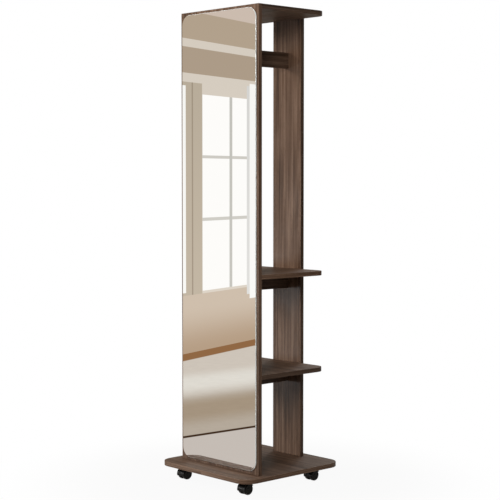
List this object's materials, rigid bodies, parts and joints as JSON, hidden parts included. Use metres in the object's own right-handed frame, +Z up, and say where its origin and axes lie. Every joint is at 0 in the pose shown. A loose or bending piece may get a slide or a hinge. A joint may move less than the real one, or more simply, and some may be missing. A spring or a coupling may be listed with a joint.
{
  "type": "revolving wardrobe cabinet",
  "caption": "Tall full-length mirror with an open two-sided wardrobe behind it: hanging rail, shelves and a square base on swivel casters.",
  "frame": {"origin": "floor level, under the centre of the square base board", "axes": "+Z up; -Y is the side the mirror faces; the open sides of the wardrobe face -X and +X"},
  "size_m": [0.476, 0.476, 1.7],
  "materials": {
    "walnut_laminate": "dark walnut-grain laminate on board, satin",
    "silvered_glass": "silvered float glass, ground arris",
    "foam_tape": "white foam mounting tape",
    "zinc_plated_steel": "bright zinc plated",
    "beech": "plain fluted beech",
    "brown_cap_plastic": "brown moulded caps",
    "spring_steel": "bright drawn steel",
    "black_steel": "black lacquered pressed steel",
    "black_nylon": "moulded black nylon, glossy",
    "black_wheel": "moulded black nylon wheel, worn tread"
  },
  "bodies": {
    "carcass": {"mirror_board": "walnut_laminate", "rear_board": "walnut_laminate", "top_board": "walnut_laminate", "middle_shelf": "walnut_laminate", "lower_shelf": "walnut_laminate", "hanging_rail": "walnut_laminate", "middle_apron": "walnut_laminate", "lower_apron": "walnut_laminate", "base_board": "walnut_laminate", "mirror_glass": "silvered_glass", "mirror_tape": "foam_tape", "cam_bolts": "zinc_plated_steel", "cam_locks": "zinc_plated_steel", "dowels": "beech", "rear_screws": "zinc_plated_steel", "base_screws": "zinc_plated_steel", "screw_caps": "brown_cap_plastic", "caster_screws": "zinc_plated_steel", "swivel_clips": "spring_steel", "front_left_caster_plate": "black_steel", "front_right_caster_plate": "black_steel", "rear_left_caster_plate": "black_steel", "rear_right_caster_plate": "black_steel", "front_left_swivel_pin": "spring_steel", "front_right_swivel_pin": "spring_steel", "rear_left_swivel_pin": "spring_steel", "rear_right_swivel_pin": "spring_steel"},
    "front_left_caster": {"front_left_caster_housing": "black_nylon", "front_left_wheel_axle": "spring_steel"},
    "front_left_left_wheel": {"front_left_left_wheel": "black_wheel"},
    "front_left_right_wheel": {"front_left_right_wheel": "black_wheel"},
    "front_right_caster": {"front_right_caster_housing": "black_nylon", "front_right_wheel_axle": "spring_steel"},
    "front_right_left_wheel": {"front_right_left_wheel": "black_wheel"},
    "front_right_right_wheel": {"front_right_right_wheel": "black_wheel"},
    "rear_left_caster": {"rear_left_caster_housing": "black_nylon", "rear_left_wheel_axle": "spring_steel"},
    "rear_left_left_wheel": {"rear_left_left_wheel": "black_wheel"},
    "rear_left_right_wheel": {"rear_left_right_wheel": "black_wheel"},
    "rear_right_caster": {"rear_right_caster_housing": "black_nylon", "rear_right_wheel_axle": "spring_steel"},
    "rear_right_left_wheel": {"rear_right_left_wheel": "black_wheel"},
    "rear_right_right_wheel": {"rear_right_right_wheel": "black_wheel"}
  },
  "joints": [
    {"name": "front_left_swivel", "type": "hinge", "parent": "carcass", "child": "front_left_caster", "pos_m": [-0.164, -0.164, 0.04], "axis": [0, 0, 1], "continuous": true},
    {"name": "front_left_left_roll", "type": "hinge", "parent": "front_left_caster", "child": "front_left_left_wheel", "pos_m": [-0.17625, -0.173, 0.02], "axis": [1, 0, 0], "continuous": true},
    {"name": "front_left_right_roll", "type": "hinge", "parent": "front_left_caster", "child": "front_left_right_wheel", "pos_m": [-0.15175, -0.173, 0.02], "axis": [1, 0, 0], "continuous": true},
    {"name": "front_right_swivel", "type": "hinge", "parent": "carcass", "child": "front_right_caster", "pos_m": [0.164, -0.164, 0.04], "axis": [0, 0, 1], "continuous": true},
    {"name": "front_right_left_roll", "type": "hinge", "parent": "front_right_caster", "child": "front_right_left_wheel", "pos_m": [0.15175, -0.173, 0.02], "axis": [1, 0, 0], "continuous": true},
    {"name": "front_right_right_roll", "type": "hinge", "parent": "front_right_caster", "child": "front_right_right_wheel", "pos_m": [0.17625, -0.173, 0.02], "axis": [1, 0, 0], "continuous": true},
    {"name": "rear_left_swivel", "type": "hinge", "parent": "carcass", "child": "rear_left_caster", "pos_m": [-0.164, 0.164, 0.04], "axis": [0, 0, 1], "continuous": true},
    {"name": "rear_left_left_roll", "type": "hinge", "parent": "rear_left_caster", "child": "rear_left_left_wheel", "pos_m": [-0.17625, 0.155, 0.02], "axis": [1, 0, 0], "continuous": true},
    {"name": "rear_left_right_roll", "type": "hinge", "parent": "rear_left_caster", "child": "rear_left_right_wheel", "pos_m": [-0.15175, 0.155, 0.02], "axis": [1, 0, 0], "continuous": true},
    {"name": "rear_right_swivel", "type": "hinge", "parent": "carcass", "child": "rear_right_caster", "pos_m": [0.164, 0.164, 0.04], "axis": [0, 0, 1], "continuous": true},
    {"name": "rear_right_left_roll", "type": "hinge", "parent": "rear_right_caster", "child": "rear_right_left_wheel", "pos_m": [0.15175, 0.155, 0.02], "axis": [1, 0, 0], "continuous": true},
    {"name": "rear_right_right_roll", "type": "hinge", "parent": "rear_right_caster", "child": "rear_right_right_wheel", "pos_m": [0.17625, 0.155, 0.02], "axis": [1, 0, 0], "continuous": true}
  ]
}
